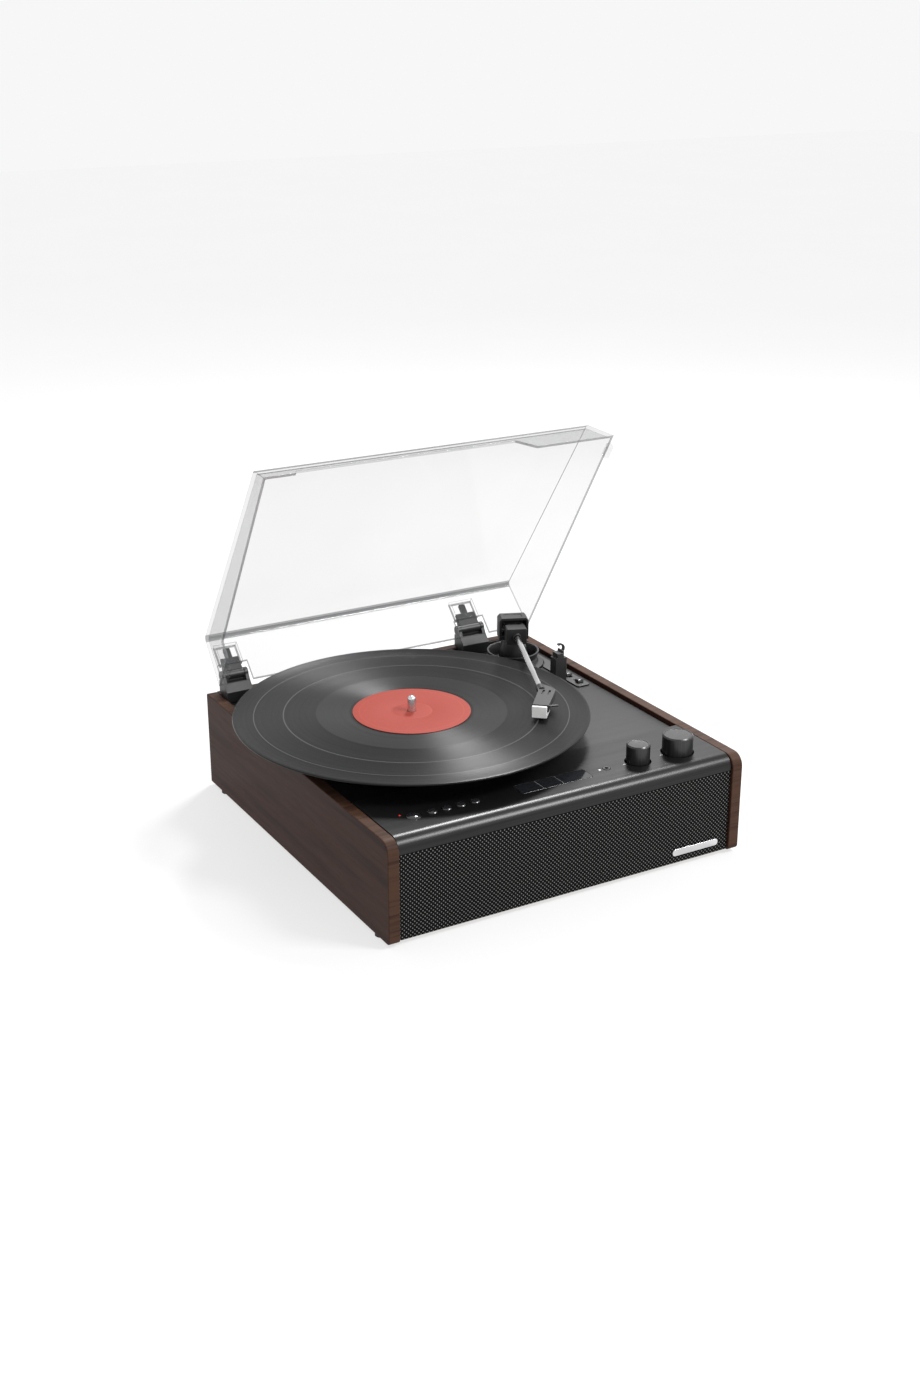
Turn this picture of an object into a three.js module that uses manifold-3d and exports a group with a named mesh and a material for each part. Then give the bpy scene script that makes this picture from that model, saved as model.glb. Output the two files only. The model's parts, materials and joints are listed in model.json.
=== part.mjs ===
// Table-top record player: a walnut-sided cabinet with a recessed deck, a front
// control panel over a cloth grille, a belt-driven platter that carries a 12-inch
// record, a straight tonearm and a hinged clear dust cover, shown open.
//
// Millimetres. +Z is up, +X runs to the right along the front and +Y to the back.
// The origin is the middle of the base board's underside.

import * as THREE from 'three';
import { mergeVertices } from 'three/addons/utils/BufferGeometryUtils.js';
import Module from 'manifold-3d';

const wasm = await Module();
wasm.setup();

// ---------------------------------------------------------------- driving sizes

const GAP = 0.3; // clearance kept between pieces that touch

const CABINET = { width: 331, depth: 348, height: 86, side: 9.8, rear: 9, frontRadius: 11, edgeRadius: 4 };
const FOOT = { x: 160.6, y: 150, radius: 4.4, height: 3 };
const DECK = { top: 82, thickness: 3, front: -94.6, lip: 1.4 };
const PANEL = { thickness: 2, lipBottom: 73.5, front: -172, rear: -94.9, sideGap: 0.6 };
const CONTROL_ROW = -141.3; // y of the row of buttons and knobs
const BUTTONS = { power: { x: -125.7, radius: 5.9 }, firstX: -109.5, pitch: 12.5, radius: 4, bottom: 78 };
const DISPLAY = { x: 1, y: -140.3, width: 67, depth: 17 };
const JACK = { x: 52.1, y: -140.6 };
const KNOBS = {
  tone: { x: 82.5, radius: 9.85, well: 11.2 },
  volume: { x: 122.2, radius: 12.85, well: 14 },
  bottom: 82.5,
  top: 101.7,
};
const RECORD = { x: -48.2, y: 4.4, top: 105.8, radius: 150.8, thickness: 1.8, label: 50 };
const PLATTER = { radius: 98, skirt: 87, plate: 3, beltRim: 61, mat: 1.6 };
const SPINDLE = { radius: 3.6, above: 13.5 };
const MOTOR = { x: RECORD.x - 58, y: RECORD.y + 58, pulley: 5.3, can: 17.5 };
const BELT = { bottom: 91, height: 4, thickness: 0.9 };
const ARM = {
  x: 117, y: 110, axis: 116.3, // vertical bearing, and height of the tube
  aim: 22.7, // degrees the tube points inwards from straight ahead
  tubeRadius: 2.5, tubeStart: 22.4, tubeEnd: 155,
};
const HEAD = { x: 35.3, y: -66.8, aim: 41.6, bottom: 112.6, top: 119 };
const REST = { x: 125, y: 44, width: 12, depth: 9, top: 109, saddle: 113.4 };
const CLIP = { x: 124, z: 106.5, openAngle: 45 };
const SWITCH_PLATE = { x: [136, 150], y: [28, 118], thickness: 0.9 };
const SWITCHES = {
  speed: { x: 143.6, y: 56, slot: [50.4, 61.6] },
  stop: { x: 143.6, y: 37, slot: [34.4, 44.6] },
};
const COVER = {
  axisY: 164, axisZ: 103.5, openAngle: 58.1, wall: 2.4,
  frontFoot: [-91, 92.4], frontTop: [-71.5, 126.9], backTop: [151.7, 139.4], backFoot: [162.5, 92.4],
  halfFoot: 161.2, halfTop: 159, sideNotch: 108.1, frontNotch: 112.5, notchLeft: -132, notchRight: 76, notchBack: 120,
};
const HINGES = { left: [-155, -130], right: [87, 115] };

const innerX = CABINET.width / 2 - CABINET.side; // inner face of a side panel
const frontY = -CABINET.depth / 2;
const backY = CABINET.depth / 2;
const innerBackY = backY - CABINET.rear;

// ---------------------------------------------------------------- finishes

const finish = (color, roughness, metalness = 0, extra = {}) =>
  new THREE.MeshStandardMaterial({ color, roughness, metalness, ...extra });

const walnut = finish(0x4a3228, 0.5);
const fibreboard = finish(0x6b5440, 0.85);
const deckMetal = finish(0x3d3e3f, 0.5, 0.6);
const brushedMetal = finish(0x5a5b5c, 0.38, 0.85);
const blackPlastic = finish(0x17181a, 0.45);
const glossBlack = finish(0x101113, 0.15);
const cloth = finish(0x1d1d1e, 0.95);
const steel = finish(0xb9bbbd, 0.3, 0.9);
const rubber = finish(0x1b1b1c, 0.9);
const vinyl = finish(0x141516, 0.22);
const labelPaper = finish(0xd56b5d, 0.7);
const circuit = finish(0x1f4a2c, 0.6);
const clearAcrylic = finish(0xf4f7f8, 0.05, 0, { transparent: true, opacity: 0.3 });
const ivoryPlastic = finish(0xe6e6e4, 0.4);

// ---------------------------------------------------------------- joining and cutting

function toSolid(geometry) {
  const bare = geometry.clone();
  bare.deleteAttribute('normal');
  bare.deleteAttribute('uv');
  const merged = mergeVertices(bare, 1e-4);
  return new wasm.Manifold(new wasm.Mesh({
    numProp: 3,
    vertProperties: new Float32Array(merged.attributes.position.array),
    triVerts: new Uint32Array(merged.index.array),
  }));
}

function toGeometry(solid) {
  const mesh = solid.getMesh();
  const geometry = new THREE.BufferGeometry();
  geometry.setAttribute('position', new THREE.BufferAttribute(new Float32Array(mesh.vertProperties), 3));
  geometry.setIndex(new THREE.BufferAttribute(new Uint32Array(mesh.triVerts), 1));
  geometry.computeVertexNormals();
  return geometry;
}

const join = (first, ...rest) => toGeometry(rest.reduce((sum, next) => sum.add(toSolid(next)), toSolid(first)));
const cut = (body, ...tools) => toGeometry(tools.reduce((left, tool) => left.subtract(toSolid(tool)), toSolid(body)));

// ---------------------------------------------------------------- shape helpers

// A closed outline through the points, each corner rounded by its radius.
function outline(points, radii = []) {
  const shape = new THREE.Shape();
  points.forEach((point, i) => {
    const corner = new THREE.Vector2(...point);
    const radius = Array.isArray(radii) ? (radii[i] ?? 0) : radii;
    const before = new THREE.Vector2(...points.at(i - 1)).sub(corner).normalize();
    const after = new THREE.Vector2(...points[(i + 1) % points.length]).sub(corner).normalize();
    if (radius > 0) {
      const half = Math.acos(THREE.MathUtils.clamp(before.dot(after), -1, 1)) / 2;
      const start = corner.clone().addScaledVector(before, radius / Math.tan(half));
      const end = corner.clone().addScaledVector(after, radius / Math.tan(half));
      const centre = corner.clone().addScaledVector(before.clone().add(after).normalize(), radius / Math.sin(half));
      const from = Math.atan2(start.y - centre.y, start.x - centre.x);
      const to = Math.atan2(end.y - centre.y, end.x - centre.x);
      const clockwise = before.cross(after) > 0;
      if (i === 0) {
        shape.moveTo(start.x, start.y);
      } else {
        shape.lineTo(start.x, start.y);
      }
      shape.absarc(centre.x, centre.y, radius, from, to, clockwise);
    } else if (i === 0) {
      shape.moveTo(corner.x, corner.y);
    } else {
      shape.lineTo(corner.x, corner.y);
    }
  });
  shape.closePath();
  return shape;
}

const rectangle = (x0, x1, y0, y1, radius = 0) => outline([[x0, y0], [x1, y0], [x1, y1], [x0, y1]], radius);

// A plan outline in x and y raised from z0 to z1.
function raise(shape, z0, z1, curveSegments = 6) {
  const geometry = new THREE.ExtrudeGeometry(shape, { depth: z1 - z0, bevelEnabled: false, curveSegments });
  return geometry.translate(0, 0, z0);
}

// A side outline in y and z stretched from x0 to x1.
function stretchX(shape, x0, x1, curveSegments = 6) {
  const geometry = new THREE.ExtrudeGeometry(shape, { depth: x1 - x0, bevelEnabled: false, curveSegments });
  geometry.rotateX(Math.PI / 2).rotateZ(Math.PI / 2);
  return geometry.translate(x0, 0, 0);
}

// A front outline in x and z stretched from y0 to y1.
function stretchY(shape, y0, y1, curveSegments = 6) {
  const geometry = new THREE.ExtrudeGeometry(shape, { depth: y1 - y0, bevelEnabled: false, curveSegments });
  return geometry.rotateX(Math.PI / 2).translate(0, y1, 0);
}

function block(x0, x1, y0, y1, z0, z1) {
  const geometry = new THREE.BoxGeometry(x1 - x0, y1 - y0, z1 - z0);
  return geometry.translate((x0 + x1) / 2, (y0 + y1) / 2, (z0 + z1) / 2);
}

function post(x, y, radius, z0, z1, segments = 24) {
  const geometry = new THREE.CylinderGeometry(radius, radius, z1 - z0, segments);
  return geometry.rotateX(Math.PI / 2).translate(x, y, (z0 + z1) / 2);
}

function rodX(y, z, radius, x0, x1, segments = 20) {
  const geometry = new THREE.CylinderGeometry(radius, radius, x1 - x0, segments);
  return geometry.rotateZ(Math.PI / 2).translate((x0 + x1) / 2, y, z);
}

function rodY(x, z, radius, y0, y1, segments = 20) {
  const geometry = new THREE.CylinderGeometry(radius, radius, y1 - y0, segments);
  return geometry.translate(x, (y0 + y1) / 2, z);
}

// A closed profile of [radius, height] points turned about a vertical axis at x, y.
function turn(profile, x = 0, y = 0, segments = 32) {
  const closed = profile[0][0] > 0 ? [...profile, profile[0]] : profile;
  const geometry = new THREE.LatheGeometry(closed.map(([r, z]) => new THREE.Vector2(r, z)), segments);
  return geometry.rotateX(Math.PI / 2).translate(x, y, 0);
}

// ---------------------------------------------------------------- scene graph

const player = new THREE.Group();

function add(name, geometry, material, parent = player) {
  const mesh = new THREE.Mesh(geometry, material);
  mesh.name = name;
  parent.add(mesh);
  return mesh;
}

// ---------------------------------------------------------------- cabinet

function makeCabinet() {
  const side = outline(
    [[frontY, 0], [backY, 0], [backY, CABINET.height], [frontY, CABINET.height]],
    [CABINET.edgeRadius, 1.5, 1.5, CABINET.frontRadius],
  );
  add('side_panel_left', stretchX(side, -CABINET.width / 2, -innerX), walnut);
  add('side_panel_right', stretchX(side, innerX, CABINET.width / 2), walnut);

  const fit = innerX - GAP;
  const rear = cut(
    block(-fit, fit, innerBackY, backY - 0.2, 0, CABINET.height),
    rodY(130, 30, 4.6, innerBackY - 1, backY + 1),
    rodY(98, 30, 5.2, innerBackY - 1, backY + 1),
    rodY(80, 30, 5.2, innerBackY - 1, backY + 1),
  );
  add('rear_panel', rear, walnut);
  const baffleBack = -157;
  const baffleFront = -166.9;
  add('base_board', block(-fit, fit, baffleFront, innerBackY - GAP, 0, 6), fibreboard);

  for (const [name, sign] of [['left', -1], ['right', 1]]) {
    const [x0, x1] = [sign * 141, sign * fit].sort((a, b) => a - b);
    add(`deck_batten_${name}`, block(x0, x1, -90, 150, 66, DECK.top - DECK.thickness - GAP), fibreboard);
    add(`speaker_${name}`, makeSpeaker(sign * 95, baffleBack + GAP, 38), blackPlastic);
  }

  const baffle = cut(
    block(-fit, fit, baffleFront, baffleBack, 6.3, 73),
    rodY(-95, 38, 27, baffleFront - 1, baffleBack + 1, 32),
    rodY(95, 38, 27, baffleFront - 1, baffleBack + 1, 32),
  );
  add('front_baffle', baffle, fibreboard);
  const clothX = fit - 0.3;
  add('grille_panel', stretchY(rectangle(-clothX, clothX, 1, 73, 1.5), -171.5, baffleFront - GAP, 3), cloth);
  add('badge', stretchY(rectangle(99, 145, 8, 14, 2.6), -172.7, -171.8, 4), steel);

  const pad = [[0, -FOOT.height], [FOOT.radius - 0.5, -FOOT.height], [FOOT.radius, 0.5 - FOOT.height]];
  const padProfile = [...pad, [FOOT.radius, -GAP], [0, -GAP]];
  for (const [end, y] of [['front', -FOOT.y], ['rear', FOOT.y]]) {
    for (const [hand, x] of [['left', -FOOT.x], ['right', FOOT.x]]) {
      add(`foot_${end}_${hand}`, turn(padProfile, x, y, 20), rubber);
    }
  }
}

// A small driver: flange, basket and magnet turned about an axis along y.
function makeSpeaker(x, y, z) {
  const profile = [[0, 5], [9, 2], [24, 0.5], [25, 0], [30, 0], [30, 2], [25, 3], [19, 15], [18, 26], [0, 26]];
  return turn(profile, 0, 0, 20).rotateX(-Math.PI / 2).translate(x, y, z);
}

// ---------------------------------------------------------------- deck and control panel

function makeDeck() {
  const bottom = DECK.top - DECK.thickness;
  const fit = innerX - GAP;
  const holes = [
    post(RECORD.x, RECORD.y, 11, bottom - 1, DECK.top + 1),
    post(MOTOR.x, MOTOR.y, 8, bottom - 1, DECK.top + 1),
    post(ARM.x, ARM.y, 7, bottom - 1, DECK.top + 1),
    ...Object.values(SWITCHES).map(({ x, slot }) => block(x - 1.9, x + 1.9, slot[0], slot[1], bottom - 1, DECK.top + 1)),
  ];
  const rearEdge = innerBackY - GAP;
  const lip = block(-fit, fit, rearEdge - DECK.lip, rearEdge, DECK.top - 1, CABINET.height - 0.4);
  const plate = join(block(-fit, fit, DECK.front, rearEdge, bottom, DECK.top), lip);
  add('deck_plate', cut(plate, ...holes), deckMetal);
}

function buttonPlaces() {
  const row = Array.from({ length: 4 }, (_, i) => ({ x: BUTTONS.firstX + i * BUTTONS.pitch, radius: BUTTONS.radius }));
  return [BUTTONS.power, ...row];
}

function makeControlPanel() {
  const top = CABINET.height;
  const reach = innerX - PANEL.sideGap;
  const t = PANEL.thickness;
  const sheet = outline(
    [
      [PANEL.rear, top], [PANEL.front, top], [PANEL.front, PANEL.lipBottom], [PANEL.front + t, PANEL.lipBottom],
      [PANEL.front + t, top - t], [PANEL.rear - t, top - t], [PANEL.rear - t, DECK.top - 2], [PANEL.rear, DECK.top - 2],
    ],
    [0.6, CABINET.frontRadius, 0, 0, CABINET.frontRadius - t, 0, 0, 0],
  );
  const window = rectangle(
    DISPLAY.x - DISPLAY.width / 2, DISPLAY.x + DISPLAY.width / 2,
    DISPLAY.y - DISPLAY.depth / 2, DISPLAY.y + DISPLAY.depth / 2, 2,
  );
  const openings = [
    ...buttonPlaces().map(({ x, radius }) => post(x, CONTROL_ROW, radius + 0.4, top - 4, top + 1)),
    ...[KNOBS.tone, KNOBS.volume].map(({ x, well }) => post(x, CONTROL_ROW, well, top - 4, top + 1, 36)),
    post(JACK.x, JACK.y, 3.4, top - 4, top + 1),
    raise(window, top - 4, top + 1, 3),
  ];
  add('control_panel', cut(stretchX(sheet, -reach, reach, 8), ...openings), brushedMetal);

  const glass = rectangle(
    DISPLAY.x - DISPLAY.width / 2 + GAP, DISPLAY.x + DISPLAY.width / 2 - GAP,
    DISPLAY.y - DISPLAY.depth / 2 + GAP, DISPLAY.y + DISPLAY.depth / 2 - GAP, 1.8,
  );
  add('display_window', raise(glass, top - 1.4, top + 0.1, 3), glossBlack);
  const jack = [
    [0, 71.9], [5, 71.9], [5, top - 2.3], [3, top - 2.3], [3, top + 0.4], [1.75, top + 0.4], [1.75, 74], [0, 74],
  ];
  add('headphone_jack', turn(jack, JACK.x, JACK.y, 20), blackPlastic);
}

// One board under the panel: switches under the buttons, the display and both knob controls.
function makeControlBoard() {
  const boardTop = 71.6;
  const sunk = boardTop - 0.5;
  const parts = [
    ...buttonPlaces().map(({ x }) => block(x - 3, x + 3, CONTROL_ROW - 3, CONTROL_ROW + 3, sunk, BUTTONS.bottom - 1.6)),
    block(DISPLAY.x - 31, DISPLAY.x + 31, DISPLAY.y - 7, DISPLAY.y + 7, sunk, CABINET.height - 1.8),
    ...[KNOBS.tone, KNOBS.volume].flatMap(({ x }) => [
      block(x - 8, x + 8, CONTROL_ROW - 8, CONTROL_ROW + 8, sunk, 79),
      post(x, CONTROL_ROW, 3, 78, 92, 20),
    ]),
  ];
  const board = cut(block(-140, 142, -157, -124, 70, boardTop), post(JACK.x, JACK.y, 5.6, 69, 73));
  add('control_board', join(board, ...parts), circuit);
}

function makeButtonsAndKnobs() {
  const top = CABINET.height;
  buttonPlaces().forEach(({ x, radius }, i) => {
    const name = i === 0 ? 'power_button' : `function_button_${i}`;
    const dome = [
      [0, BUTTONS.bottom], [radius, BUTTONS.bottom], [radius, top + 0.3],
      [radius * 0.86, top + 1], [radius * 0.5, top + 1.6], [0, top + 1.8],
    ];
    add(name, turn(dome, x, CONTROL_ROW, 16), glossBlack);
  });
  for (const [name, { x, radius }] of [['tone_knob', KNOBS.tone], ['volume_knob', KNOBS.volume]]) {
    const shell = [
      [0, 93], [3.3, 93], [3.3, KNOBS.bottom], [radius, KNOBS.bottom], [radius, KNOBS.top - 1.1],
      [radius - 1, KNOBS.top], [radius - 1.6, KNOBS.top], [radius - 2, KNOBS.top - 0.3], [0, KNOBS.top - 0.5],
    ];
    add(name, turn(shell, x, CONTROL_ROW, 28), brushedMetal);
  }
}

// ---------------------------------------------------------------- drive and platter

function makeDrive() {
  const underDeck = DECK.top - DECK.thickness - GAP;
  const can = join(
    post(MOTOR.x, MOTOR.y, MOTOR.can, 50, underDeck - 2, 28),
    post(MOTOR.x, MOTOR.y, 12, underDeck - 2.5, underDeck, 20),
  );
  add('motor', cut(can, post(MOTOR.x, MOTOR.y, 1.6, 60, 90, 16)), steel);
  const pulley = [
    [0, 62], [1.2, 62], [1.2, 85], [MOTOR.pulley + 1.2, 85.5], [MOTOR.pulley + 1.2, 89.5],
    [MOTOR.pulley, 90.2], [MOTOR.pulley, 96], [MOTOR.pulley + 1, 97], [0, 97],
  ];
  add('motor_pulley', turn(pulley, MOTOR.x, MOTOR.y, 24), steel);
  add('drive_belt', makeBelt(), rubber);

  const bore = SPINDLE.radius + GAP;
  const bearing = [[bore, 62], [8, 62], [8, 74], [17, 75], [17, underDeck], [bore, underDeck]];
  add('bearing_housing', turn(bearing, RECORD.x, RECORD.y, 24), steel);
}

// The belt runs round the platter's inner rim and the motor pulley on straight tangents.
function makeBelt() {
  const rim = PLATTER.beltRim + GAP;
  const pulley = MOTOR.pulley + GAP;
  const span = Math.hypot(MOTOR.x - RECORD.x, MOTOR.y - RECORD.y);
  const heading = Math.atan2(MOTOR.y - RECORD.y, MOTOR.x - RECORD.x);
  const contact = Math.acos((rim - pulley) / span);
  const loop = (offset, Path) => {
    const path = new Path();
    path.absarc(RECORD.x, RECORD.y, rim + offset, heading + contact, heading - contact + 2 * Math.PI, false);
    path.absarc(MOTOR.x, MOTOR.y, pulley + offset, heading - contact, heading + contact, false);
    path.closePath();
    return path;
  };
  const shape = loop(BELT.thickness, THREE.Shape);
  shape.holes.push(loop(0, THREE.Path));
  return raise(shape, BELT.bottom, BELT.bottom + BELT.height, 24);
}

function makePlatter() {
  const recordBottom = RECORD.top - RECORD.thickness;
  const matBottom = recordBottom - GAP - PLATTER.mat;
  const top = matBottom - GAP;
  const under = top - PLATTER.plate;
  const bore = SPINDLE.radius + GAP;
  const { radius, skirt, beltRim } = PLATTER;
  const section = [
    [bore, 84], [10, 84], [10, under], [beltRim - 3, under], [beltRim - 3, 89], [beltRim, 89], [beltRim, under],
    [radius - 3, under], [radius - 3, skirt], [radius, skirt], [radius, top - 1], [radius - 1, top], [bore, top],
  ];
  add('platter', turn(section, RECORD.x, RECORD.y, 48), blackPlastic);
  const matEdge = radius - 2;
  const mat = [[bore, matBottom], [matEdge, matBottom], [matEdge, recordBottom - GAP], [bore, recordBottom - GAP]];
  add('platter_mat', turn(mat, RECORD.x, RECORD.y, 48), rubber);

  const tip = RECORD.top + SPINDLE.above;
  const r = SPINDLE.radius;
  const pin = [[0, 64], [r, 64], [r, tip - 2.4], [r * 0.72, tip - 0.7], [r * 0.35, tip], [0, tip]];
  add('spindle', turn(pin, RECORD.x, RECORD.y, 20), steel);

  const labelEdge = RECORD.label + GAP;
  const disc = [
    [bore, recordBottom], [RECORD.radius - 1, recordBottom], [RECORD.radius, recordBottom + 0.7],
    [RECORD.radius - 0.4, RECORD.top], [RECORD.radius - 2.6, RECORD.top], [RECORD.radius - 3.6, RECORD.top - 0.3],
    [labelEdge + 2, RECORD.top - 0.3], [labelEdge, RECORD.top - 0.6], [bore, RECORD.top - 0.6],
  ];
  add('record', turn(disc, RECORD.x, RECORD.y, 64), vinyl);
  const labelTop = RECORD.top - 0.05;
  const paper = [[bore, RECORD.top - GAP], [RECORD.label, RECORD.top - GAP], [RECORD.label, labelTop], [bore, labelTop]];
  add('record_label', turn(paper, RECORD.x, RECORD.y, 48), labelPaper);
}

// ---------------------------------------------------------------- tonearm

// In the arm's own frame +Y runs back along the tube and the origin is the vertical bearing.
function makeTonearm() {
  const cup = [
    [6.5, DECK.top + GAP], [28.6, DECK.top + GAP], [29, 84.4], [24.2, 86], [22.6, 90], [24.6, 96.5],
    [22.8, 96.5], [20.6, 90.6], [19.6, 86], [6.5, 86],
  ];
  add('tonearm_base', turn(cup, ARM.x, ARM.y, 32), blackPlastic);

  const arm = new THREE.Group();
  arm.position.set(ARM.x, ARM.y, 0);
  arm.rotation.z = -THREE.MathUtils.degToRad(ARM.aim);
  player.add(arm);

  const hoodHalf = 13.75;
  const [hoodFront, hoodBack] = [-5.3, 10.3];
  const column = turn([[0, 72], [5, 72], [5, 86.4], [13, 86.4], [13, 97], [10, 108.5], [0, 108.5]], 0, 0, 28);
  const saddle = block(-hoodHalf, hoodHalf, hoodFront, hoodBack, 108, 111.7);
  add('tonearm_turret', join(column, saddle), blackPlastic, arm);

  const hoodFace = outline(
    [[-hoodHalf, 112], [hoodHalf, 112], [hoodHalf, 126.4], [hoodHalf - 2.2, 129], [2.2 - hoodHalf, 129], [-hoodHalf, 126.4]],
  );
  const hollow = block(-hoodHalf + 2.2, hoodHalf - 2.2, hoodFront - 1, hoodBack - 2, 111, 126.6);
  const panel = block(-8, 8, hoodFront + 3, hoodBack - 3, 128.4, 130);
  const bar = rodX(0, ARM.axis, 1.2, -hoodHalf + 1, hoodHalf - 1, 16);
  const hood = cut(stretchY(hoodFace, hoodFront, hoodBack, 4), hollow, panel);
  add('turret_hood', join(hood, bar), blackPlastic, arm);

  const neck = cut(block(-4, 4, -8.4, 2, 113.2, 119.4), rodX(0, ARM.axis, 1.5, -6, 6, 16));
  const housing = stretchY(outline([[-9.5, 109], [9.5, 109], [9.5, 124], [-9.5, 124]], 1.2), -21.8, -8.2, 3);
  const socket = rodY(0, ARM.axis, 3.9, -24.8, -21, 20);
  const socketBore = rodY(0, ARM.axis, ARM.tubeRadius + GAP, -26, -22.1, 20);
  add('arm_block', cut(join(neck, housing, socket), socketBore), blackPlastic, arm);
  add('counterweight', block(-10, 10, 2.3, 6.4, 114, 121), steel, arm);
  add('arm_tube', rodY(0, ARM.axis, ARM.tubeRadius, -ARM.tubeEnd, -ARM.tubeStart, 20), steel, arm);
  makeHead(arm);
}

// In the head's own frame +Y runs back from the middle of its front edge.
function makeHead(arm) {
  const head = new THREE.Group();
  head.position.set(HEAD.x, HEAD.y, 0);
  head.rotation.z = -THREE.MathUtils.degToRad(HEAD.aim);
  player.add(head);
  player.updateMatrixWorld(true);
  const armToHead = new THREE.Matrix4().copy(head.matrixWorld).invert().multiply(arm.matrixWorld);

  const plan = outline(
    [[-6.8, 0], [6.8, 0], [7.1, 36], [1, 43], [-5, 46.5], [-10, 42.5], [-7.2, 31]],
    [1, 1, 2, 2, 2, 2, 2],
  );
  const collar = rodY(0, ARM.axis, 3.9, -158.5, -149, 20).applyMatrix4(armToHead);
  const bore = rodY(0, ARM.axis, ARM.tubeRadius + GAP, -ARM.tubeEnd - GAP, -140, 20).applyMatrix4(armToHead);
  const slots = [-2.6, 2.6].map((x) => block(x - 0.9, x + 0.9, 24, 34, HEAD.top - 1.2, HEAD.top + 1));
  const lift = new THREE.CylinderGeometry(0.8, 0.8, 9, 12).rotateZ(-Math.PI / 2 + 0.36).translate(9.6, 4.4, 117);
  const shell = join(raise(plan, HEAD.bottom, HEAD.top, 3), collar, lift);
  add('headshell', cut(shell, bore, ...slots), blackPlastic, head);

  const chin = 108;
  const cartridge = join(
    block(-7, 5.6, -3, 16, chin, HEAD.bottom - GAP),
    block(-7, 5.6, -3, -GAP, chin + 1, HEAD.top - 0.8),
  );
  add('cartridge', cartridge, ivoryPlastic, head);
  const tip = new THREE.ConeGeometry(0.7, 0.9, 12).rotateX(-Math.PI / 2).translate(-0.6, 1, RECORD.top + 0.75);
  const holder = block(-4, 3, -2, 12, RECORD.top + 0.9, chin - GAP);
  add('stylus', join(holder, tip), blackPlastic, head);
}

function makeArmRest() {
  const { x, y, width, depth, saddle } = REST;
  const foot = DECK.top + GAP;
  const half = width / 2;
  const face = outline([
    [x - half - 2.4, foot], [x + half + 2.4, foot], [x + half, foot + 3.4], [x + half, REST.top], [x + 2.9, REST.top],
    [x + 2.9, saddle + 2.2], [x + 1.6, saddle + 2.2], [x + 1.6, saddle], [x - 3.8, saddle], [x - 3.8, REST.top],
    [x - half, REST.top], [x - half, foot + 3.4],
  ]);
  const pin = rodY(CLIP.x, CLIP.z, 1, y, y + depth / 2 + 3.6, 12);
  add('arm_rest', join(stretchY(face, y - depth / 2, y + depth / 2), pin), blackPlastic);

  // The clip is drawn closed round the parked tube, then swung open about its pin.
  const clip = new THREE.Group();
  clip.position.set(CLIP.x, 0, CLIP.z);
  clip.rotation.y = THREE.MathUtils.degToRad(CLIP.openAngle);
  player.add(clip);
  const [tubeX, tubeZ] = [-1.1, ARM.axis - CLIP.z];
  const hook = new THREE.Shape();
  hook.absarc(tubeX, tubeZ, 4.7, -1.3, 2.9, false);
  hook.absarc(tubeX, tubeZ, 3.3, 2.9, -1.3, true);
  hook.closePath();
  const y0 = y + depth / 2 + 0.4;
  const strap = join(
    stretchY(hook, y0, y0 + 3, 12),
    block(-1, 1.6, y0, y0 + 3, 0, tubeZ - 3.4),
    rodY(0, 0, 2.3, y0, y0 + 3, 16),
  );
  add('arm_clip', cut(strap, rodY(0, 0, 1.3, y0 - 1, y0 + 4, 12)), blackPlastic, clip);
}

function makeSwitches() {
  const bottom = DECK.top + GAP;
  const top = bottom + SWITCH_PLATE.thickness;
  const slots = Object.values(SWITCHES).map(({ x, slot }) => block(x - 1.9, x + 1.9, slot[0], slot[1], 80, 85));
  const plate = raise(rectangle(...SWITCH_PLATE.x, ...SWITCH_PLATE.y, 3), bottom, top, 4);
  const cupHole = post(ARM.x, ARM.y, 29.6, 80, 85, 48);
  add('switch_plate', cut(plate, cupHole, ...slots), blackPlastic);
  for (const [name, { x, y }] of [['speed_switch', SWITCHES.speed], ['auto_stop_switch', SWITCHES.stop]]) {
    const slider = join(
      block(x - 1.4, x + 1.4, y - 2, y + 2, bottom - 2, top + 1),
      stretchX(outline([[y - 3, top + GAP], [y + 3, top + GAP], [y + 2.2, top + 3], [y - 2.2, top + 3]]), x - 3, x + 3),
    );
    add(name, slider, glossBlack);
  }
}

// ---------------------------------------------------------------- dust cover

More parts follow.
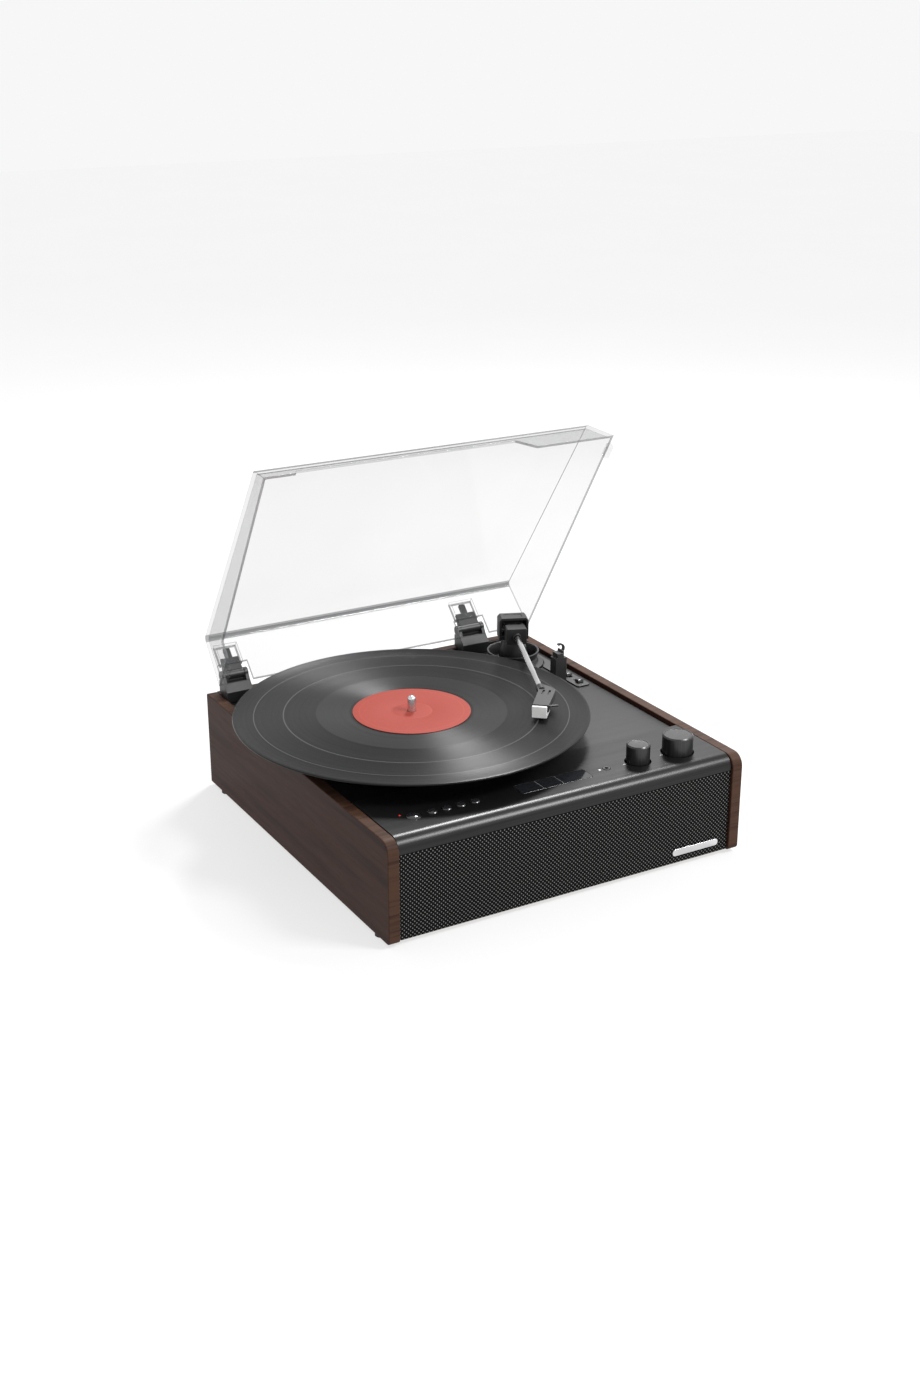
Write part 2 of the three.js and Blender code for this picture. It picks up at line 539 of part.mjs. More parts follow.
// The cover is drawn closed, in y and z measured from its hinge axis, and then swung open.
function makeCover() {
  const cover = new THREE.Group();
  cover.position.set(0, COVER.axisY, COVER.axisZ);
  cover.rotation.x = -THREE.MathUtils.degToRad(COVER.openAngle);
  player.add(cover);

  const toAxis = ([y, z]) => [y - COVER.axisY, z - COVER.axisZ];
  const corners = [COVER.frontFoot, COVER.frontTop, COVER.backTop, COVER.backFoot].map(toAxis);
  const footZ = COVER.frontFoot[1] - COVER.axisZ;
  const topZ = COVER.backTop[1] - COVER.axisZ;
  const w = COVER.wall;

  // Side walls lean in towards the top, so the half width depends on the height.
  const leaning = (profile, inset) => {
    const shape = stretchX(profile, -1, 1, 5);
    const place = shape.attributes.position;
    for (let i = 0; i < place.count; i += 1) {
      const rise = (place.getZ(i) - footZ) / (topZ - footZ);
      const half = THREE.MathUtils.lerp(COVER.halfFoot, COVER.halfTop, rise) - inset;
      place.setX(i, Math.sign(place.getX(i)) * half);
    }
    return shape;
  };
  const outer = leaning(outline(corners, [0, 6, 5, 0]), 0);
  const inside = [
    [corners[0][0] + w * 1.15, corners[0][1]], [corners[1][0] + w * 0.62, corners[1][1] - w],
    [corners[2][0] - w * 0.8, corners[2][1] - w], [corners[3][0] - w, corners[3][1]],
  ];
  const sunkInside = [
    [inside[0][0] - 1.1, inside[0][1] - 2], inside[1], inside[2], [inside[3][0] + 0.4, inside[3][1] - 2],
  ];
  const cavity = leaning(outline(sunkInside, [0, 4, 3, 0]), w);

  // The record overhangs the deck on the left and in front, so both walls are cut away over it.
  const [sideEdge, frontEdge] = [COVER.sideNotch - COVER.axisZ, COVER.frontNotch - COVER.axisZ];
  const below = footZ - 3;
  const leftX = -COVER.halfFoot - 5;
  const nearY = corners[0][0] - 5;
  const frontNotch = stretchY(
    outline([
      [leftX, below], [COVER.notchRight + 9, below], [COVER.notchRight, frontEdge],
      [COVER.notchLeft + 2, frontEdge], [COVER.notchLeft, sideEdge], [leftX, sideEdge],
    ]),
    nearY, corners[1][0] + 2,
  );
  const back = COVER.notchBack - COVER.axisY;
  const leftNotch = stretchX(
    outline([[nearY, below], [back + 4, below], [back, sideEdge], [nearY, sideEdge]]),
    leftX, -COVER.halfTop + 8,
  );
  const hingeGaps = Object.values(HINGES).map(([x0, x1]) => block(x0 - 1.6, x1 + 1.6, -16, 2, below, 7));

  // Each hinge leaf slides into a clear socket on the outside of the back wall.
  const wallAt = (z) => THREE.MathUtils.lerp(corners[3][0], corners[2][0], (z - corners[3][1]) / (corners[2][1] - corners[3][1]));
  const sockets = Object.values(HINGES).flatMap(([x0, x1]) => {
    const rail = outline([[wallAt(8) - 0.6, 8], [wallAt(8) + 4, 8], [wallAt(25) + 4, 25], [wallAt(25) - 0.6, 25]]);
    const cap = outline([[wallAt(25) - 0.6, 25], [wallAt(25) + 4, 25], [wallAt(27) + 4, 27], [wallAt(27) - 0.6, 27]]);
    return [stretchX(rail, x0 + 1.5, x0 + 3.4), stretchX(rail, x1 - 3.4, x1 - 1.5), stretchX(cap, x0 + 1.5, x1 - 1.5)];
  });
  const shell = cut(outer, cavity, frontNotch, leftNotch, ...hingeGaps);
  add('dust_cover', join(shell, ...sockets), clearAcrylic, cover);

  const padBottom = CABINET.height + GAP - COVER.axisZ;
  const [frontPad, rearPad] = [corners[0][0] + 8, corners[3][0] - 30];
  add('cover_bumper_right', block(156.4, 161, frontPad, frontPad + 14, padBottom, footZ - GAP), clearAcrylic, cover);
  add('cover_bumper_left', block(-161, -156.4, rearPad, rearPad + 14, padBottom, footZ - GAP), clearAcrylic, cover);

  for (const [side, [x0, x1]] of Object.entries(HINGES)) {
    makeHinge(side, x0, x1, cover, wallAt);
  }
}

function makeHinge(side, x0, x1, cover, wallAt) {
  const { axisY, axisZ } = COVER;
  const ear = 3.2;
  const seat = outline(
    [
      [150.5, DECK.top + GAP], [162.4, DECK.top + GAP], [162.4, CABINET.height + 0.8],
      [168, CABINET.height + 0.8], [168, 98.8], [157, 98.8], [150.5, 92],
    ],
    [0, 0, 0, 1, 0, 2, 1.5],
  );
  const cheek = outline([[155, 95], [162.4, 95], [167.6, 101.5], [axisY, axisZ + 1], [160, axisZ + 1]]);
  const cheeks = [x0, x1 - ear].flatMap((x) => [
    stretchX(cheek, x, x + ear),
    rodX(axisY, axisZ, 4.6, x, x + ear, 24),
  ]);
  const base = join(stretchX(seat, x0, x1, 3), ...cheeks, rodX(axisY, axisZ, 1.6, x0 + 1, x1 - 1, 16));
  add(`hinge_base_${side}`, base, blackPlastic);

  const [k0, k1] = [x0 + ear + 0.4, x1 - ear - 0.4];
  const middle = (k0 + k1) / 2;
  const inner = (z) => [wallAt(z) + 0.5, z];
  const outerFace = (z) => [wallAt(z) + 3.4, z];
  const plate = outline([inner(2), [4, 1], outerFace(12), outerFace(14), inner(14)]);
  const tongue = outline([inner(12), outerFace(12), outerFace(23), inner(23)]);
  const leaf = join(
    rodX(0, 0, 4.3, k0, k1, 24),
    stretchX(plate, k0 + 0.4, k1 - 0.4),
    stretchX(tongue, middle - 3, middle + 3),
  );
  add(`hinge_leaf_${side}`, cut(leaf, rodX(0, 0, 1.9, k0 - 1, k1 + 1, 16)), blackPlastic, cover);
}

// ---------------------------------------------------------------- electronics and sockets

function makeElectronics() {
  const corners = [[24, 64], [106, 64], [24, 136], [106, 136]];
  const board = join(
    block(20, 110, 60, 140, 12, 13.6),
    ...corners.map(([x, y]) => post(x, y, 3, 6.3, 12.5, 12)),
    block(30, 52, 110, 128, 13.2, 30),
    post(70, 120, 6, 13.2, 30, 16),
    block(60, 90, 74, 96, 13.2, 17),
  );
  add('main_board', board, circuit);

  const jackFront = innerBackY - GAP;
  const inlet = join(block(123, 137, 150, jackFront, 23, 37), rodY(130, 30, 4.2, jackFront - 1, backY, 20));
  add('power_inlet', cut(inlet, rodY(130, 30, 2.7, 158, backY + 1, 16)), blackPlastic);
  const outputs = join(
    block(72, 106, 152, jackFront, 22, 38),
    rodY(80, 30, 4.8, jackFront - 1, backY + 0.2, 20),
    rodY(98, 30, 4.8, jackFront - 1, backY + 0.2, 20),
  );
  const pinHoles = [80, 98].map((x) => rodY(x, 30, 1.7, 160, backY + 1, 12));
  add('audio_outputs', cut(outputs, ...pinHoles), blackPlastic);
}

makeCabinet();
makeDeck();
makeControlPanel();
makeControlBoard();
makeButtonsAndKnobs();
makeDrive();
makePlatter();
makeTonearm();
makeArmRest();
makeSwitches();
makeCover();
makeElectronics();

export default player;
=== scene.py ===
import json
import math
import bmesh
import bpy
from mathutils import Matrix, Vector


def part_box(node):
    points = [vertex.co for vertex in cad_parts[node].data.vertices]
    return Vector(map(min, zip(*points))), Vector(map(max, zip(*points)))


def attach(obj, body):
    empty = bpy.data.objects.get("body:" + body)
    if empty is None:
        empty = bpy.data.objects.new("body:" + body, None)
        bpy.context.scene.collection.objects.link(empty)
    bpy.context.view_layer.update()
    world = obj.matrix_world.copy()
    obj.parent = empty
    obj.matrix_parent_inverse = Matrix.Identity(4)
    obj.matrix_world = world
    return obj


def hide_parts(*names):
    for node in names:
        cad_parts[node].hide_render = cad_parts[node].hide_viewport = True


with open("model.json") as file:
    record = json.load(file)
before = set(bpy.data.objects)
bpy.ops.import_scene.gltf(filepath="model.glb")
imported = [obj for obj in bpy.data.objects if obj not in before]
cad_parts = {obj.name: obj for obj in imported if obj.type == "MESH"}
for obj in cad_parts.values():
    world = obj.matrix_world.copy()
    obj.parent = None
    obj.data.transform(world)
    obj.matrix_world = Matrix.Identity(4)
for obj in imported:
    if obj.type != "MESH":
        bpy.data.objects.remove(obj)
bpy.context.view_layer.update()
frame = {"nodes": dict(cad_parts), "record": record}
cadNodes = frame["nodes"]
bodies = frame["record"]["behaviour"]["bodies"]
bodyOf = {node: body for body, members in bodies.items() for node in members}
slotOf = {row["node"]: row["material_slot"] for row in frame["record"]["subparts"]}
mm = 0.001
mergeDistance = 1e-6
flatAngle = 0.01


def aimed(place, look):
    return (Vector(look) - Vector(place)).to_track_quat("-Z", "Y").to_euler()


# camera
view = {"place": (-0.7033, -1.2138, 0.6723), "look": (-0.0037, 0.0, 0.117),
        "lens": 46.13, "sensor": 36, "clip": 0.05}
cameraData = bpy.data.cameras.new("camera")
cameraData.lens = view["lens"]
cameraData.sensor_width = view["sensor"]
cameraData.clip_start = view["clip"]
camera = bpy.data.objects.new("camera", cameraData)
bpy.context.scene.collection.objects.link(camera)
camera.location = view["place"]
camera.rotation_euler = aimed(view["place"], view["look"])
bpy.context.scene.camera = camera
print("camera set")


# small wrappers so shader maths reads as plain sums
class Value:
    def __init__(self, shader, socket):
        self.shader = shader
        self.socket = socket

    def maths(self, operation, *others):
        return self.shader.node("ShaderNodeMath", {"operation": operation}, [self, *others])

    def __add__(self, other): return self.maths("ADD", other)
    __radd__ = __add__
    def __mul__(self, other): return self.maths("MULTIPLY", other)
    __rmul__ = __mul__
    def __sub__(self, other): return self.maths("SUBTRACT", other)
    def __rsub__(self, other): return self.shader.node("ShaderNodeMath", {"operation": "SUBTRACT"}, [other, self])
    def __truediv__(self, other): return self.maths("DIVIDE", other)
    def __gt__(self, other): return self.maths("GREATER_THAN", other)
    def __lt__(self, other): return self.maths("LESS_THAN", other)
    def __pow__(self, other): return self.maths("POWER", other)


class Shader:
    def __init__(self, name):
        self.material = bpy.data.materials.new(name)
        self.material.use_nodes = True
        self.nodes = self.material.node_tree.nodes
        self.links = self.material.node_tree.links
        self.surface = self.nodes["Principled BSDF"]

    def node(self, kind, settings=None, inputs=(), output=0):
        made = self.nodes.new(kind)
        for key, setting in (settings or {}).items():
            if key == "stops":
                ramp = made.color_ramp
                while len(ramp.elements) < len(setting):
                    ramp.elements.new(0.5)
                for element, (place, colour) in zip(ramp.elements, setting):
                    element.position = place
                    element.color = (*colour, 1)
            else:
                setattr(made, key, setting)
        pairs = inputs.items() if isinstance(inputs, dict) else enumerate(inputs)
        for key, value in pairs:
            self.feed(made.inputs[key], value)
        return Value(self, made.outputs[output])

    def feed(self, socket, value):
        if isinstance(value, Value):
            self.links.new(value.socket, socket)
        elif isinstance(value, (tuple, list)) and len(value) == 3 and socket.type == "RGBA":
            socket.default_value = (*value, 1)
        else:
            socket.default_value = value

    def set(self, **values):
        names = {
            "colour": "Base Color", "rough": "Roughness", "metal": "Metallic", "coat": "Coat Weight",
            "normal": "Normal", "alpha": "Alpha", "specular": "Specular IOR Level",
            "aniso": "Anisotropic", "anisoTurn": "Anisotropic Rotation",
            "glow": "Emission Color", "glowPower": "Emission Strength",
        }
        for key, value in values.items():
            self.feed(self.surface.inputs[names[key]], value)
        return self.material

    def place(self, scale=(1, 1, 1), shift=(0, 0, 0)):
        spot = self.node("ShaderNodeTexCoord", output=3)
        return self.node("ShaderNodeMapping", {}, {"Vector": spot, "Scale": scale, "Location": shift})

    def noise(self, where, scale, detail=4.0, rough=0.55):
        return self.node("ShaderNodeTexNoise", {}, {"Vector": where, "Scale": scale, "Detail": detail,
                                                    "Roughness": rough})

    def ramp(self, value, stops):
        return self.node("ShaderNodeValToRGB", {"stops": stops}, [value])

    def bump(self, height, strength, distance):
        return self.node("ShaderNodeBump", {}, {"Height": height, "Strength": strength,
                                                "Distance": distance})

    def mix(self, factor, first, second):
        made = self.nodes.new("ShaderNodeMix")
        made.data_type = "RGBA"
        for key, value in ((0, factor), (6, first), (7, second)):
            self.feed(made.inputs[key], value)
        return Value(self, made.outputs[2])

    def axes(self, where):
        made = self.nodes.new("ShaderNodeSeparateXYZ")
        self.feed(made.inputs[0], where)
        return [Value(self, out) for out in made.outputs]


# materials
def shaded(colour, amount):
    return tuple(min(1, c * amount) for c in colour)


def walnut(name, stretch, dark, light, poreScale=5):
    s = Shader(name)
    grain = s.noise(s.place(scale=stretch), 1.0, 8.0, 0.62)
    pores = s.noise(s.place(scale=tuple(v * poreScale for v in stretch)), 1.0, 3.0, 0.7)
    colour = s.ramp(grain * 0.75 + pores * 0.25,
                    [(0.36, dark), (0.52, light), (0.66, shaded(light, 0.8))])
    return s.set(colour=colour, rough=pores * 0.2 + 0.42, specular=0.1,
                 normal=s.bump(pores, 0.12, 0.0003))


def brushed(name, colour, along, metal=0.7, rough=0.4, strength=0.08):
    s = Shader(name)
    lines = s.noise(s.place(scale=along), 1.0, 3.0, 0.6)
    shade = s.ramp(lines, [(0.3, shaded(colour, 0.82)), (0.7, shaded(colour, 1.2))])
    return s.set(colour=shade, metal=metal, rough=lines * 0.2 + (rough - 0.1),
                 normal=s.bump(lines, strength, 0.0002))


def moulded(name, colour, rough, grain=900.0, strength=0.06, metal=0.0, coat=0.0):
    s = Shader(name)
    fine = s.noise(s.place(), grain, 2.0)
    broad = s.noise(s.place(), 40.0, 3.0)
    shade = s.ramp(broad, [(0.3, shaded(colour, 0.86)), (0.7, shaded(colour, 1.12))])
    return s.set(colour=shade, rough=fine * 0.12 + (rough - 0.06), metal=metal, coat=coat,
                 normal=s.bump(fine, strength, 0.0002))


def ringDistance(s, centre):
    spot = s.place(shift=(-centre[0], -centre[1], 0))
    x, y, _ = s.axes(spot)
    return (x * x + y * y) ** 0.5


def ring(far, span):
    return (far > span[0]) * (far < span[1])


# the run-out band and the track-gap lines are drawn lighter than the grooves as painted sheen; the vinyl itself is
# one colour
grooves = {"pitch": 0.0011, "bandScale": 260.0, "inner": (0.0524, 0.0807),
           "lines": ((0.1076, 0.1086), (0.1326, 0.1334)),
           "colour": (0.006, 0.006, 0.0065), "runoutSheenColour": (0.017, 0.017, 0.0175), "lineColour": (0.06, 0.06, 0.062)}
labelPrint = {"lines": ((0.0440, 0.0446), (0.0165, 0.0172)), "lineColour": (0.35, 0.06, 0.04),
              "paper": ((0.25, 0.034, 0.022), (0.31, 0.046, 0.031))}


def vinyl(name, centre):
    s = Shader(name)
    far = ringDistance(s, centre)
    groove = (far * (2 * math.pi / grooves["pitch"])).maths("SINE")
    bands = s.node("ShaderNodeTexNoise", {"noise_dimensions": "1D"},
                   {"W": far * grooves["bandScale"], "Scale": 1.0, "Detail": 3.0})
    inner = ring(far, grooves["inner"])
    outerLine, innerLine = grooves["lines"]
    trackGapSheen = ring(far, outerLine) + ring(far, innerLine)
    # lighter run-out band and track-gap lines: painted sheen
    shade = s.mix(inner, grooves["colour"], grooves["runoutSheenColour"])
    shade = s.mix(trackGapSheen, shade, grooves["lineColour"])
    plain = 1 - inner * 0.75
    return s.set(colour=shade, rough=bands * 0.12 + 0.26, specular=0.2, aniso=0.9, anisoTurn=0.25,
                 normal=s.bump(groove * plain, 0.07, 0.00008))


def label(name, centre):
    s = Shader(name)
    far = ringDistance(s, centre)
    fibre = s.noise(s.place(), 700.0, 3.0)
    darkPaper, lightPaper = labelPrint["paper"]
    paper = s.ramp(fibre, [(0.3, darkPaper), (0.7, lightPaper)])
    outerLine, innerLine = labelPrint["lines"]
    line = ring(far, outerLine) + ring(far, innerLine)
    return s.set(colour=s.mix(line * 0.6, paper, labelPrint["lineColour"]), rough=fibre * 0.2 + 0.5, specular=0.2,
                 normal=s.bump(fibre, 0.1, 0.0002))


clothWeave = {"pitch": 0.0036, "dotSize": 0.022, "threadScale": (1400, 1400, 1400),
              "thread": ((0.0015, 0.0015, 0.0015), (0.0045, 0.0045, 0.0047)), "dot": (0.15, 0.148, 0.144)}


def speakerCloth(name):
    s = Shader(name)
    x, _, z = s.axes(s.place())
    across, up = x / clothWeave["pitch"], z / (clothWeave["pitch"] * 0.5)
    row = (up + 0.5).maths("FLOOR")
    odd = row.maths("FLOORED_MODULO", 2.0)
    dx = (across + odd * 0.5).maths("FRACT") - 0.5
    dz = (up + 0.5).maths("FRACT") - 0.5
    dot = (dx * dx + dz * dz * 0.25) < clothWeave["dotSize"]
    thread = s.noise(s.place(scale=clothWeave["threadScale"]), 1.0, 2.0)
    darkThread, lightThread = clothWeave["thread"]
    weave = s.ramp(thread, [(0.3, darkThread), (0.7, lightThread)])
    return s.set(colour=s.mix(dot, weave, clothWeave["dot"]), rough=0.9, specular=0.08,
                 normal=s.bump(thread + dot, 0.35, 0.0004))


def clearSheet(name, body, rim, tint):
    s = Shader(name)
    fresnel = s.node("ShaderNodeLayerWeight", {}, {"Blend": 0.35}, output=1)
    haze = s.noise(s.place(), 9.0, 2.0)
    return s.set(colour=tint, rough=0.06, alpha=(fresnel ** 2.0) * rim + haze * 0.03 + body, specular=0.6)


looks = {
    "walnut": walnut("walnut", (90, 5, 90), (0.011, 0.0046, 0.003), (0.036, 0.0145, 0.0095)),
    "fibreboard": moulded("fibreboard", (0.3, 0.2, 0.12), 0.8, 300.0, 0.2),
    "deck_metal": brushed("deckMetal", (0.013, 0.013, 0.0135), (8, 900, 900), 0.6, 0.4),
    "brushed_metal": brushed("panelMetal", (0.024, 0.024, 0.0245), (8, 1000, 1000), 0.8, 0.32),
    "black_plastic": moulded("blackPlastic", (0.011, 0.011, 0.012), 0.4),
    "gloss_black": moulded("glossBlack", (0.012, 0.012, 0.014), 0.14, 500.0, 0.01, coat=0.4),
    "cloth": speakerCloth("speakerCloth"),
    "steel": moulded("steel", (0.66, 0.66, 0.67), 0.2, 1200.0, 0.02, metal=1.0),
    "rubber": moulded("rubber", (0.025, 0.025, 0.026), 0.75, 700.0, 0.15),
    "vinyl": None,
    "label_paper": None,
    "circuit": moulded("circuit", (0.03, 0.13, 0.06), 0.5),
    "clear_acrylic": clearSheet("clearAcrylic", 0.09, 0.30, (0.08, 0.083, 0.085)),
    "ivory_plastic": moulded("ivoryPlastic", (0.8, 0.8, 0.79), 0.3, 900.0, 0.02, coat=0.2),
}
recordLow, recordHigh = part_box("record")
spindleAt = ((recordLow.x + recordHigh.x) / 2, (recordLow.y + recordHigh.y) / 2)
looks["vinyl"] = vinyl("vinyl", spindleAt)
looks["label_paper"] = label("labelPaper", spindleAt)
knobMetal = brushed("knobMetal", (0.05, 0.05, 0.051), (900, 900, 8), 0.85, 0.32)
# panel edges: real cross grain, and a tone lighter than the sides that is a painted highlight
edgeWalnutHighlight = walnut("edgeWalnutHighlight", (6, 110, 110), (0.019, 0.0085, 0.0055), (0.057, 0.028, 0.0175))
# cut edges and folds of the cover: a lighter, more opaque sheet, a painted highlight
acrylicEdgeHighlight = clearSheet("acrylicEdgeHighlight", 0.62, 0.2, (0.14, 0.145, 0.15))
rearWood = walnut("rearWalnut", (5, 90, 90), (0.011, 0.0046, 0.003), (0.036, 0.0145, 0.0095))


panes = {"lines": ((-0.0123, -0.0119), (0.0063, 0.0067)), "glass": (0.012, 0.013, 0.015), "line": (0.2, 0.2, 0.2)}


def displayGlass(name):
    s = Shader(name)
    x, _, _ = s.axes(s.place())
    leftLine, rightLine = panes["lines"]
    line = ring(x, leftLine) + ring(x, rightLine)
    dust = s.noise(s.place(), 60.0, 3.0)
    return s.set(colour=s.mix(line, panes["glass"], panes["line"]), rough=dust * 0.1 + 0.06, coat=0.5)


windowGlass = displayGlass("displayGlass")
print("materials made")


# pieces
def finishPiece(bm, name, node, material, sharpAngle=0.5):
    for face in bm.faces:
        face.smooth = True
    for edge in bm.edges:
        if len(edge.link_faces) == 2:
            edge.smooth = edge.calc_face_angle(0) < sharpAngle
    mesh = bpy.data.meshes.new(name)
    bm.to_mesh(mesh)
    bm.free()
    piece = bpy.data.objects.new(name, mesh)
    bpy.context.scene.collection.objects.link(piece)
    mesh.materials.append(material)
    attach(piece, bodyOf[node])
    return piece


roundedFrom = math.radians(40)


def softened(node, width, segments=2, material=None):
    bm = bmesh.new()
    bm.from_mesh(cadNodes[node].data)
    bmesh.ops.remove_doubles(bm, verts=bm.verts, dist=mergeDistance)
    bmesh.ops.dissolve_limit(bm, angle_limit=flatAngle, verts=bm.verts, edges=bm.edges)
    piece = finishPiece(bm, node + "_shown", node, material or looks[slotOf[node]])
    if width:
        rounding = piece.modifiers.new("rounding", "BEVEL")
        rounding.width = width
        rounding.segments = segments
        rounding.limit_method = "ANGLE"
        rounding.angle_limit = roundedFrom
    shading = piece.modifiers.new("shading", "WEIGHTED_NORMAL")
    shading.keep_sharp = True
    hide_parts(node)
    return piece


def turned(node, profile, centre, steps, material=None, sharpAngle=0.5):
    bm = bmesh.new()
    verts = [bm.verts.new((centre[0] + r * mm, centre[1], z * mm)) for r, z in profile]
    edges = [bm.edges.new(pair) for pair in zip(verts, verts[1:])]
    if profile[0][0] > 0:
        edges.append(bm.edges.new((verts[-1], verts[0])))
    bmesh.ops.spin(bm, geom=verts + edges, cent=(*centre, 0), axis=(0, 0, 1), angle=2 * math.pi,
                   steps=steps, use_merge=True)
    bmesh.ops.remove_doubles(bm, verts=bm.verts, dist=mergeDistance)
    bmesh.ops.recalc_face_normals(bm, faces=bm.faces)
    piece = finishPiece(bm, node + "_shown", node, material or looks[slotOf[node]], sharpAngle)
    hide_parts(node)
    return piece


def edgeFaces(piece):  # narrow edges get cross grain and a lighter tone; the lighter tone is a painted highlight
    piece.data.materials.append(edgeWalnutHighlight)
    for face in piece.data.polygons:
        if abs(face.normal.x) < 0.5:
            face.material_index = 1


bevels = {
    "rear_panel": 0.0008, "deck_plate": 0.0002, "control_panel": 0.0003,
    "display_window": 0.0001, "headphone_jack": 0.0002, "grille_panel": 0.0005, "badge": 0.0003,
    "tonearm_base": 0.0004, "tonearm_turret": 0.0005, "turret_hood": 0.0006, "arm_block": 0.0005,
    "headshell": 0.0004, "cartridge": 0.0004, "stylus": 0.0002, "arm_rest": 0.0004, "arm_clip": 0.0003,
    "switch_plate": 0.0002, "speed_switch": 0.0004, "auto_stop_switch": 0.0004,
    "hinge_base_left": 0.0005, "hinge_base_right": 0.0005,
    "hinge_leaf_left": 0.0005, "hinge_leaf_right": 0.0005,
    "cover_bumper_left": 0.0005, "cover_bumper_right": 0.0005,
    "power_inlet": 0.0004, "audio_outputs": 0.0003,
    "foot_front_left": 0, "foot_front_right": 0, "foot_rear_left": 0, "foot_rear_right": 0,
    "platter": 0.0003, "motor_pulley": 0, "power_button": 0.0004,
    "function_button_1": 0.0004, "function_button_2": 0.0004,
    "function_button_3": 0.0004, "function_button_4": 0.0004,
}
ownLook = {"display_window": windowGlass, "rear_panel": rearWood}
for node, width in bevels.items():
    softened(node, width, 2, ownLook.get(node))
for node in ("side_panel_left", "side_panel_right"):
    edgeFaces(softened(node, 0.0008, 3))
print("edges softened")

record = {"radius": 150.8, "top": 105.8, "thickness": 1.8, "label": 50.0, "hole": 3.9}
bottom = record["top"] - record["thickness"]
rim, paperRim, hole, top = record["radius"], record["label"], record["hole"], record["top"]
turned("record", [
    (hole, bottom), (rim - 1, bottom), (rim - 0.2, bottom + 0.4), (rim, bottom + 0.9), (rim - 0.3, top - 0.1),
    (rim - 1.0, top), (rim - 2.6, top), (rim - 3.6, top - 0.3), (134, top - 0.3), (133, top - 0.25), (132, top - 0.3),
    (109, top - 0.3), (108, top - 0.25), (107, top - 0.3), (81.4, top - 0.3), (80.7, top - 0.25), (80, top - 0.3),
    (paperRim + 2.3, top - 0.3), (paperRim + 0.3, top - 0.6), (hole, top - 0.6),
], spindleAt, 160, sharpAngle=0.6)
turned("record_label", [(hole, top - 0.3), (paperRim, top - 0.3), (paperRim, top - 0.08),
                        (paperRim - 0.2, top - 0.05),
                        (18, top - 0.05), (17.5, top - 0.15), (17, top - 0.05), (hole, top - 0.05)], spindleAt, 96)
turned("spindle", [(0, 64), (3.6, 64), (3.6, 116.6), (3.3, 117.6), (2.6, 118.6), (1.4, 119.2), (0, 119.3)],
       spindleAt, 40)
turned("platter_mat", [(hole, 102.1), (96, 102.1), (96, 103.7), (hole, 103.7)], spindleAt, 96)

knobs = {"tone_knob": {"centre": (0.0825, -0.1413), "radius": 9.85},
         "volume_knob": {"centre": (0.1222, -0.1413), "radius": 12.85}}
for node, size in knobs.items():
    r = size["radius"]
    turned(node, [
        (0, 93), (3.3, 93), (3.3, 82.5), (r - 0.3, 82.5), (r, 82.8), (r, 100.5), (r - 0.25, 100.9), (r - 1.0, 101.7),
        (r - 1.6, 101.7), (r - 2.0, 101.35), (r * 0.5, 101.25), (0, 101.2),
    ], size["centre"], 72, knobMetal, 0.35)
print("turned pieces made")

softened("arm_tube", 0)
thinFace = 0.0013  # area over perimeter below this is a cut edge
cover = softened("dust_cover", 0.0008, 2)
cover.modifiers["rounding"].material = 1  # folds get the same painted highlight as the cut edges
cover.data.materials.append(acrylicEdgeHighlight)
for face in cover.data.polygons:
    loop = [cover.data.vertices[i].co for i in face.vertices]
    around = sum((a - b).length for a, b in zip(loop, loop[1:] + loop[:1]))
    if face.area / around < thinFace:
        face.material_index = 1


def mark(name, node, low, high, material):  # thin printed mark
    bm = bmesh.new()
    bmesh.ops.create_cube(bm, size=1)
    size = Vector(high) - Vector(low)
    bmesh.ops.scale(bm, vec=size, verts=bm.verts)
    bmesh.ops.translate(bm, vec=(Vector(high) + Vector(low)) / 2, verts=bm.verts)
    bmesh.ops.bevel(bm, geom=bm.edges, offset=min(size) * 0.3, affect="EDGES", segments=2, profile=0.5, material=-1)
    return finishPiece(bm, name, node, material)


paint = moulded("whitePrint", (0.7, 0.7, 0.7), 0.6)
redLens = moulded("redLens", (0.75, 0.03, 0.02), 0.25, coat=0.4)
panelTop = 0.086
markSink, markRise = 0.00005, 0.00015
for name, x, y, wide, deep, look in [
    ("mark_tone", 0.0693, -0.1413, 0.0024, 0.0006, paint),
    ("mark_volume", 0.1062, -0.1413, 0.0024, 0.0006, paint),
    ("mark_jack", 0.0455, -0.1406, 0.0018, 0.0018, paint),
    ("power_light", -0.1345, -0.1345, 0.0016, 0.0016, redLens),
]:
    mark(name, "control_panel", (x - wide / 2, y - deep / 2, panelTop - markSink),
         (x + wide / 2, y + deep / 2, panelTop + markRise), look)

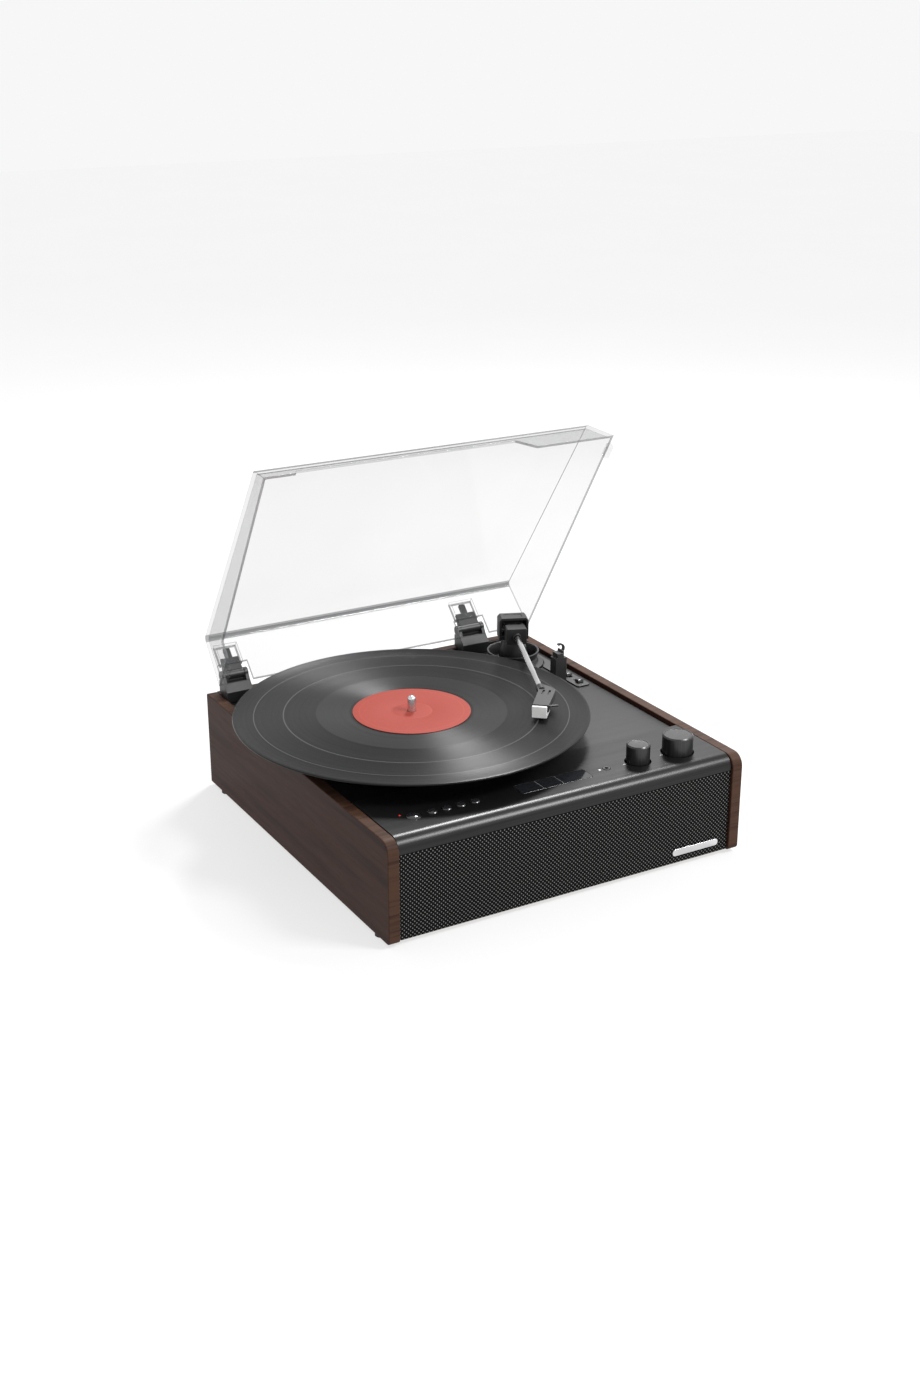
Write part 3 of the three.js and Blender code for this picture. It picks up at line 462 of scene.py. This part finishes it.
hidden = ("base_board", "front_baffle", "deck_batten_left", "deck_batten_right", "speaker_left", "speaker_right",
          "control_board", "motor", "drive_belt", "bearing_housing", "counterweight", "main_board")
for node in hidden:
    cadNodes[node].data.materials.clear()
    cadNodes[node].data.materials.append(looks[slotOf[node]])
print("materials on the remaining nodes")

# floor and light
floorSet = {"size": 6, "height": -0.0031, "dark": (0.24, 0.24, 0.24), "pale": (0.26, 0.26, 0.26), "glow": 0.66}
bm = bmesh.new()
bmesh.ops.create_grid(bm, x_segments=1, y_segments=1, size=floorSet["size"])
bmesh.ops.translate(bm, vec=(0, 0, floorSet["height"]), verts=bm.verts)
floorMesh = bpy.data.meshes.new("floor")
bm.to_mesh(floorMesh)
bm.free()
floor = bpy.data.objects.new("floor", floorMesh)
bpy.context.scene.collection.objects.link(floor)
floorLook = Shader("floorPaper")
floorShade = floorLook.ramp(floorLook.noise(floorLook.place(), 3.0),
                            [(0.0, floorSet["dark"]), (1.0, floorSet["pale"])])
floorMesh.materials.append(floorLook.set(colour=floorShade, rough=0.9, specular=0.1, glow=(1, 1, 1),
                                         glowPower=floorSet["glow"]))

world = bpy.data.worlds.new("studio")
bpy.context.scene.world = world
world.use_nodes = True
sky = world.node_tree.nodes["Background"]
sky.inputs["Color"].default_value = (1, 1, 1, 1)
sky.inputs["Strength"].default_value = 0.93
bpy.context.scene.view_settings.view_transform = "Standard"

lamps = {
    "frontLamp": {"place": (0.9, -1.1, 1.5), "look": (0, -0.1, 0.1), "power": 30, "size": 0.5},
    "backLamp": {"place": (0.74, 0.80, 1.35), "look": (0, 0, 0.1), "power": 26, "size": 0.3},
    "sideLamp": {"place": (1.4, -0.3, 0.9), "look": (0, 0, 0.1), "power": 2.5, "size": 0.6},
}
for name, lamp in lamps.items():
    data = bpy.data.lights.new(name, "AREA")
    data.energy = lamp["power"]
    data.size = lamp["size"]
    light = bpy.data.objects.new(name, data)
    bpy.context.scene.collection.objects.link(light)
    light.location = lamp["place"]
    light.rotation_euler = aimed(lamp["place"], lamp["look"])
